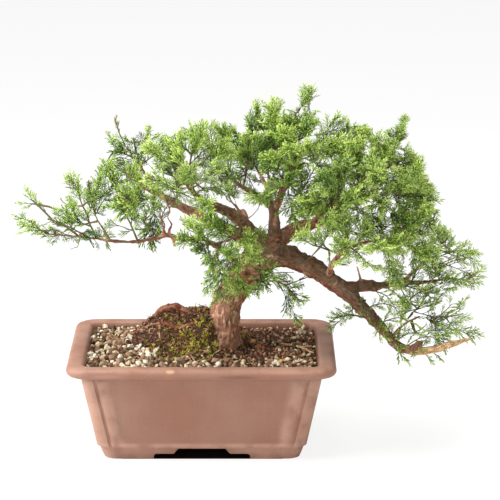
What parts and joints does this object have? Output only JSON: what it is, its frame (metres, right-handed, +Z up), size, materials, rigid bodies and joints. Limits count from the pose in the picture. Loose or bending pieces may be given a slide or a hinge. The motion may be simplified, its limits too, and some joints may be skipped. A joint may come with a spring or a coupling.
{
  "type": "potted juniper bonsai",
  "caption": "Juniper bonsai with a leaning, windswept trunk and feathery green sprays, planted in soil in an unglazed rectangular clay pot on low feet.",
  "frame": {"origin": "centre of the whole object's footprint, at the height of the foot soles", "axes": "+X along the pot's long side, the viewer's right in the picture; +Y away from the viewer; +Z up"},
  "size_m": [0.5322, 0.2868, 0.4012],
  "materials": {
    "clay": "unglazed, matt",
    "screen": "matt",
    "soil": "rough granules",
    "wood": "rough bark",
    "foliage": "leafy, matt"
  },
  "bodies": {
    "root": {"pot": "clay", "drain_mesh_left": "screen", "drain_mesh_right": "screen", "soil": "soil", "trunk": "wood", "spray_left_tip_upper": "foliage", "spray_left_tip_lower": "foliage", "spray_left_low_front": "foliage", "spray_left_low_high": "foliage", "spray_left_low_back": "foliage", "spray_left_mid_high": "foliage", "spray_left_mid_front": "foliage", "spray_left_up_outer": "foliage", "spray_left_up_middle": "foliage", "spray_left_up_inner": "foliage", "spray_left_back_low": "foliage", "spray_left_back_high": "foliage", "spray_mid_left_outer": "foliage", "spray_mid_left_top": "foliage", "spray_mid_left_front": "foliage", "spray_mid_top_left": "foliage", "spray_mid_top_right": "foliage", "spray_mid_back": "foliage", "spray_pad_left": "foliage", "spray_pad_front": "foliage", "spray_pad_low": "foliage", "spray_pad_right": "foliage", "spray_pad_top": "foliage", "spray_apex_top": "foliage", "spray_crown_left_outer": "foliage", "spray_crown_left_inner": "foliage", "spray_crown_front": "foliage", "spray_crown_right_inner": "foliage", "spray_crown_right_outer": "foliage", "spray_far_right_top": "foliage", "spray_far_right_end": "foliage", "spray_far_right_low": "foliage", "spray_middle_top": "foliage", "spray_middle_left": "foliage", "spray_middle_front": "foliage", "spray_middle_high": "foliage", "spray_middle_low": "foliage", "spray_middle_under": "foliage", "spray_middle_end": "foliage", "spray_front_right_left": "foliage", "spray_front_right_middle": "foliage", "spray_front_right_end": "foliage", "spray_front_right_front": "foliage", "spray_side_upper": "foliage", "spray_side_end": "foliage", "spray_side_lower": "foliage", "spray_side_back": "foliage", "spray_low_upper": "foliage", "spray_low_middle": "foliage", "spray_low_end": "foliage", "spray_low_left": "foliage", "spray_drooping": "foliage", "spray_back_left": "foliage", "spray_back_middle": "foliage", "spray_back_right": "foliage"}
  },
  "joints": []
}
